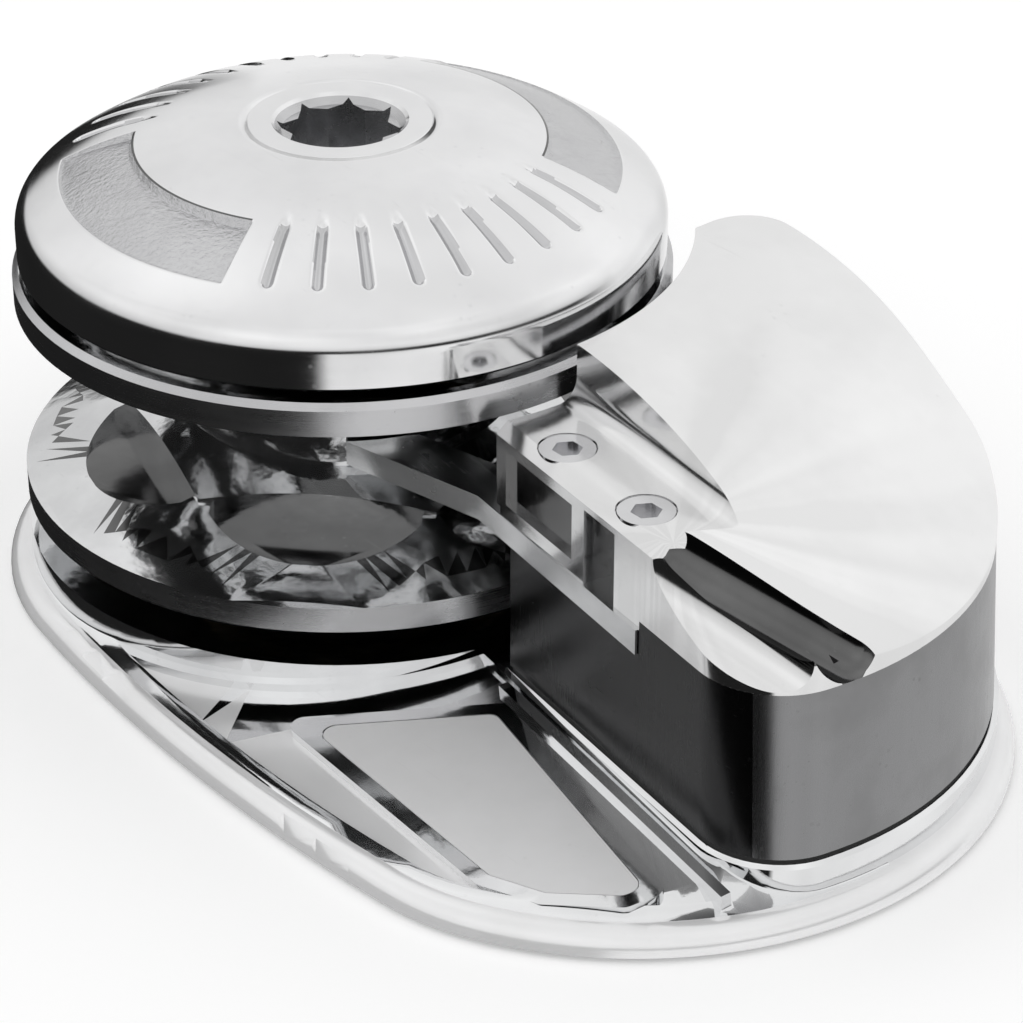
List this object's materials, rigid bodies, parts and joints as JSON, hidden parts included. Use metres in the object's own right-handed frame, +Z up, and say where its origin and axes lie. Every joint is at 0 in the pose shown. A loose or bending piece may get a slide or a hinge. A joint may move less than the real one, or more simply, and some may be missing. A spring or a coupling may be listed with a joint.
{
  "type": "vertical anchor windlass",
  "caption": "Low-profile vertical anchor windlass deck unit: pocketed chain wheel on a keyed shaft, screw-down clutch cap with handle socket, chain pipe with cover and stripper.",
  "frame": {"origin": "where the shaft axis meets the deck, under the base gasket", "axes": "+Z up along the shaft, +X along the base from the chain wheel to the chain pipe, -Y the side with the badge and the cover screws"},
  "size_m": [0.2278, 0.1454, 0.0948],
  "materials": {
    "base_chrome": "polished chromed bronze",
    "cover_chrome": "polished stainless steel, finely brushed on top",
    "cap_chrome": "polished chromed bronze",
    "wheel_chrome": "chromed casting, rims turned bright",
    "pipe_grey": "satin grey coating",
    "badge_satin": "satin brushed plate",
    "stripper_steel": "ground stainless plate",
    "screw_steel": "machined stainless steel",
    "socket_steel": "machined stainless steel",
    "shaft_steel": "ground stainless steel",
    "bronze": "turned bronze",
    "rubber": "black rubber"
  },
  "bodies": {
    "deck_unit": {"base_casting": "base_chrome", "deck_gasket": "rubber", "badge_plate": "badge_satin", "chain_pipe": "pipe_grey", "pipe_gasket": "rubber", "pipe_screws": "screw_steel", "stripper_plate": "stripper_steel", "pipe_cover": "cover_chrome", "cover_screws": "screw_steel", "cover_side_screw": "screw_steel", "lower_bush": "bronze", "upper_bush": "bronze", "shaft_seal": "rubber", "thrust_washer": "bronze"},
    "shaft": {"main_shaft": "shaft_steel", "retaining_ring": "shaft_steel", "stop_ring": "shaft_steel", "cone_keys": "shaft_steel", "lower_cone": "bronze"},
    "wheel": {"chain_wheel": "wheel_chrome", "wheel_bush": "bronze"},
    "clutch_cone": {"upper_cone": "bronze", "cap_washer": "bronze"},
    "cap": {"clutch_cap": "cap_chrome", "cap_nut": "bronze", "handle_socket": "socket_steel"}
  },
  "joints": [
    {"name": "shaft_spin", "type": "hinge", "parent": "deck_unit", "child": "shaft", "pos_m": [0, 0, 0], "axis": [0, 0, 1], "continuous": true},
    {"name": "wheel_spin", "type": "hinge", "parent": "shaft", "child": "wheel", "pos_m": [0, 0, 0], "axis": [0, 0, 1], "continuous": true},
    {"name": "cone_lift", "type": "slide", "parent": "shaft", "child": "clutch_cone", "axis": [0, 0, 1], "range_m": [0, 0.003]},
    {"name": "cap_turn", "type": "hinge", "parent": "clutch_cone", "child": "cap", "pos_m": [0, 0, 0], "axis": [0, 0, 1], "range_deg": [0, 540]}
  ],
  "couplings": [
    {"joint": "cap_turn", "follows": "cone_lift", "rad_per_m": 3141.6}
  ]
}
